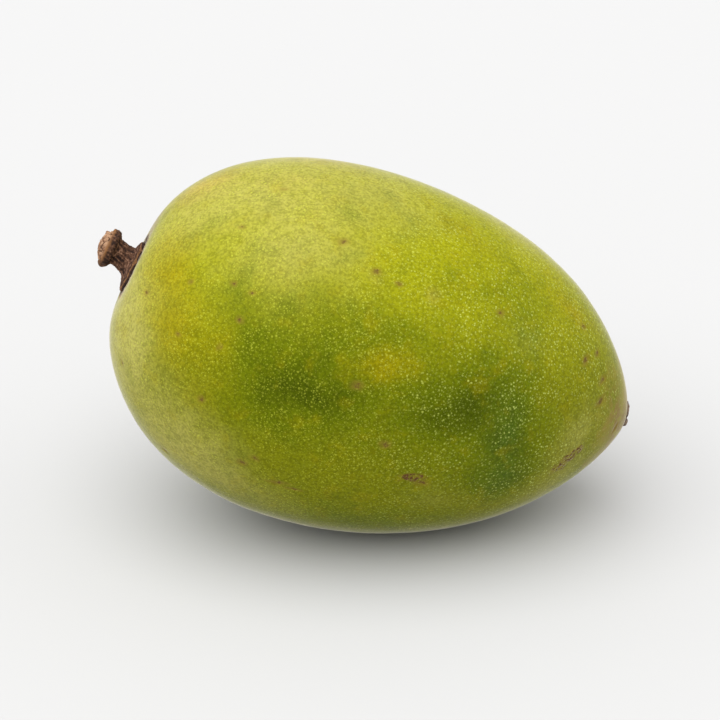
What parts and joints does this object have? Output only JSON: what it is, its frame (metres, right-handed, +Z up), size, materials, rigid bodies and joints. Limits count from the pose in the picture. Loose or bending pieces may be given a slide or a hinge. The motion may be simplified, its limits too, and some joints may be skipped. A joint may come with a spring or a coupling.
{
  "type": "pawpaw",
  "caption": "Whole green-yellow pawpaw lying on its side: an egg-shaped fruit with a blunt point, a woody stalk stub in a shallow hollow, and a dry style scar at the tip.",
  "frame": {"origin": "centre of the small flat spot that the fruit rests on, on the supporting surface", "axes": "+Z up; +X horizontal, from the stalk end towards the tip; the XZ plane is the fruit's plane of symmetry"},
  "size_m": [0.113, 0.0758, 0.0792],
  "materials": {
    "skin": "satin waxy fruit skin, yellow-green with darker green patches and pale dots",
    "bark": "rough dry bark",
    "dry_scar": "rough dry tissue"
  },
  "bodies": {
    "root": {"fruit": "skin", "stalk": "bark", "style_scar": "dry_scar"}
  },
  "joints": []
}
